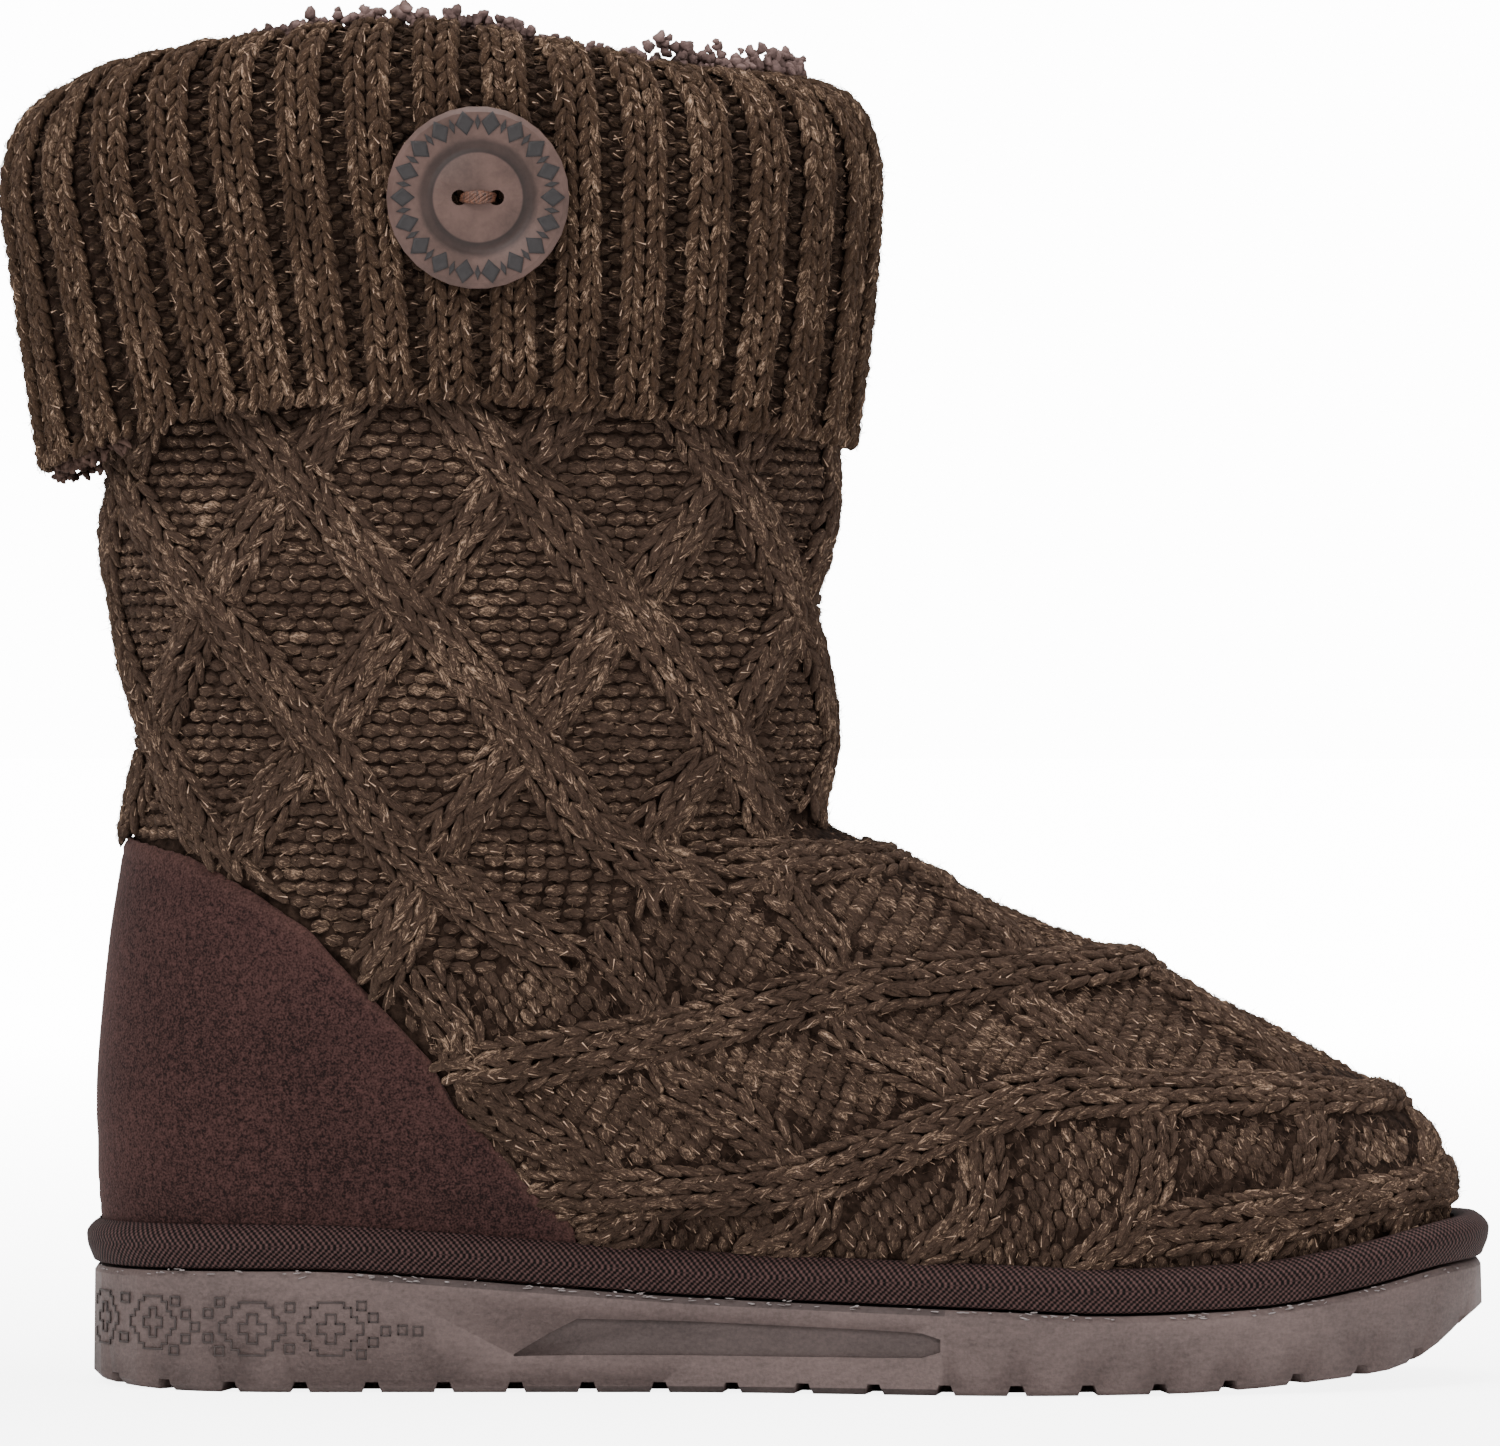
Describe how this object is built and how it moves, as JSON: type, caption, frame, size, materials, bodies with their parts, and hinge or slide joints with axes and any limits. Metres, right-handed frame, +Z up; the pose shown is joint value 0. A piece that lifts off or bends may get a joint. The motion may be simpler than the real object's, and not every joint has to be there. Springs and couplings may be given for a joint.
{
  "type": "knitted sweater boot",
  "caption": "Right knitted boot: a cable-knit shaft and vamp, a ribbed cuff folded over with a button, a suede heel counter and a lugged sole.",
  "frame": {"origin": "on the ground under the middle of the heel", "axes": "+X from the heel to the toe, +Y to the inner side of the foot, -Y to the outer side with the button, +Z up"},
  "size_m": [0.2933, 0.1297, 0.265],
  "materials": {
    "outsole": "matt moulded foam rubber",
    "binding": "twill tape",
    "insole": "fleece",
    "upper": "heather cable knit",
    "heel_counter": "suede",
    "cuff": "heather rib knit",
    "button": "satin",
    "button_thread": "twisted thread"
  },
  "bodies": {
    "root": {"outsole": "outsole", "binding": "binding", "insole": "insole", "upper": "upper", "heel_counter": "heel_counter", "cuff": "cuff", "button": "button", "button_thread": "button_thread"}
  },
  "joints": []
}
